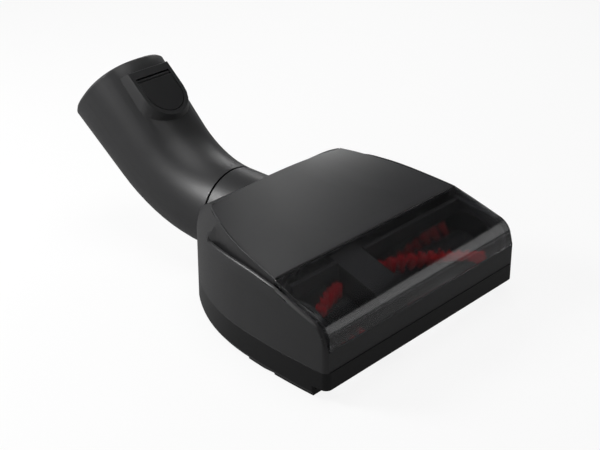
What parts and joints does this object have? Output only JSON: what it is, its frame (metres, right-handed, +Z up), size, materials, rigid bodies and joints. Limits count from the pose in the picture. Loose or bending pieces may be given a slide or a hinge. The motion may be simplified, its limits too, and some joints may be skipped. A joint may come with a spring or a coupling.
{
  "type": "motorized vacuum hand brush",
  "caption": "Electric hand brush for a suction tube: bristle roller under a clear nose cover, belt drive, swivelling elbow neck with release button.",
  "frame": {"origin": "on the sole plate's underside, on the centre line, 42 mm behind the nose", "axes": "+X across the head, -Y towards the nose, +Y towards the neck, +Z up"},
  "size_m": [0.13, 0.2027, 0.0874],
  "materials": {
    "chassis_black": "moulded ABS, fine grain",
    "housing_charcoal": "moulded ABS, fine spark-eroded grain",
    "panel_grey": "moulded ABS, satin",
    "neck_charcoal": "moulded ABS, fine spark-eroded grain",
    "button_black": "moulded, satin",
    "inner_black": "moulded, plain",
    "smoked_clear": "smoked clear polycarbonate, polished",
    "red_bristle": "nylon filament",
    "bearing_plastic": "acetal, natural",
    "belt_rubber": "toothed belt",
    "motor_steel": "zinc-plated can",
    "bright_steel": "ground steel",
    "board_green": "solder-masked glass fibre",
    "lead_red": "PVC insulation",
    "contact_brass": "plated contact",
    "grey_felt": "pressed felt"
  },
  "bodies": {
    "head": {"lower_chassis": "chassis_black", "sole_plate": "chassis_black", "glide_pads": "grey_felt", "upper_housing": "housing_charcoal", "top_cover": "panel_grey", "window": "smoked_clear", "belt_bridge": "inner_black", "brush_tunnel": "inner_black", "roller_bearing_left": "bearing_plastic", "roller_bearing_right": "bearing_plastic", "drive_belt": "belt_rubber", "motor": "motor_steel", "motor_cradle": "inner_black", "motor_screws": "bright_steel", "circuit_board": "board_green", "motor_leads": "lead_red", "suction_duct": "inner_black", "collar": "neck_charcoal", "chassis_screws": "bright_steel", "sole_screws": "bright_steel"},
    "roller": {"roller_core": "inner_black", "bristle_rows": "red_bristle", "roller_shaft": "bright_steel"},
    "rotor": {"motor_shaft": "bright_steel", "motor_pinion": "bearing_plastic"},
    "neck": {"swivel_tube": "inner_black", "retaining_ring": "bright_steel", "elbow_upper": "neck_charcoal", "elbow_lower": "neck_charcoal", "contact_block": "inner_black", "contact_pins": "contact_brass", "neck_leads": "lead_red", "button_pin": "bright_steel", "button_spring": "bright_steel"},
    "button": {"release_button": "button_black"}
  },
  "joints": [
    {"name": "roller_spin", "type": "hinge", "parent": "head", "child": "roller", "pos_m": [0, -0.021, 0.0165], "axis": [1, 0, 0], "continuous": true},
    {"name": "motor_spin", "type": "hinge", "parent": "head", "child": "rotor", "pos_m": [0, 0.019, 0.029], "axis": [1, 0, 0], "continuous": true},
    {"name": "neck_swivel", "type": "hinge", "parent": "head", "child": "neck", "pos_m": [0, 0.0705, 0.028], "axis": [0, 0.9994, 0.0349], "range_deg": [-90, 90]},
    {"name": "button_press", "type": "hinge", "parent": "neck", "child": "button", "pos_m": [0, 0.11703, 0.07251], "axis": [1, 0, 0], "range_deg": [0, 5], "stiffness_Nm_per_rad": 0.02, "springref_deg": -5.73, "deforming": ["button_spring"]}
  ],
  "couplings": [
    {"joint": "motor_spin", "follows": "roller_spin", "ratio": 1.6923}
  ]
}
